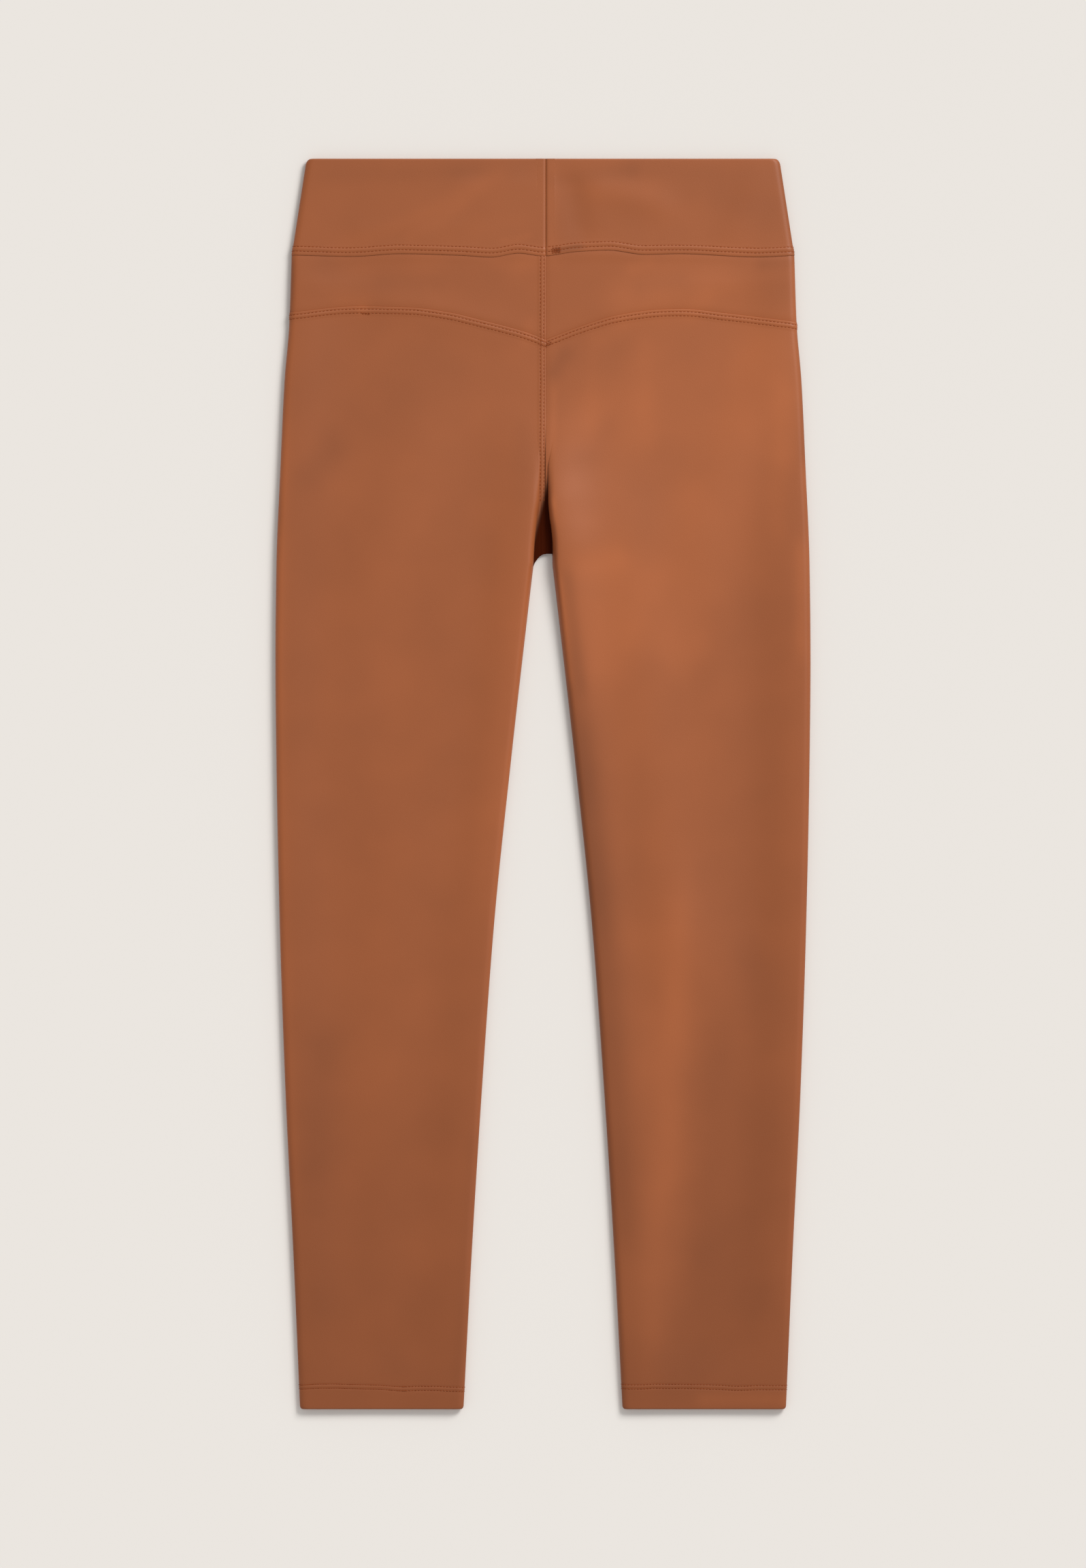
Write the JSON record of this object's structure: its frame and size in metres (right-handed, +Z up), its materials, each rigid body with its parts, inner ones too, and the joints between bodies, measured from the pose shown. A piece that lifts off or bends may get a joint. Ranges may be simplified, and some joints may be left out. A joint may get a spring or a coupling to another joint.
{
  "type": "faux leather leggings",
  "caption": "Cropped faux leather leggings laid flat with the back up: wide doubled waistband, pointed back yoke and narrow legs with turned-up hems.",
  "frame": {"origin": "middle of the rectangle that the garment covers, on the surface that it lies on", "axes": "+Y from the hems to the waist, +X to the right seen from above, +Z up from the surface out of the garment's back"},
  "size_m": [0.393, 0.918, 0.0127],
  "materials": {
    "faux_leather": "satin coated stretch knit",
    "faux_leather_band": "satin coated stretch knit, doubled",
    "thread": "twisted polyester sewing thread"
  },
  "bodies": {
    "root": {"waistband_back_left": "faux_leather_band", "waistband_back_right": "faux_leather_band", "waistband_front": "faux_leather_band", "yoke_back_left": "faux_leather", "yoke_back_right": "faux_leather", "leg_back_left": "faux_leather", "leg_back_right": "faux_leather", "leg_front_left": "faux_leather", "leg_front_right": "faux_leather"}
  },
  "joints": []
}
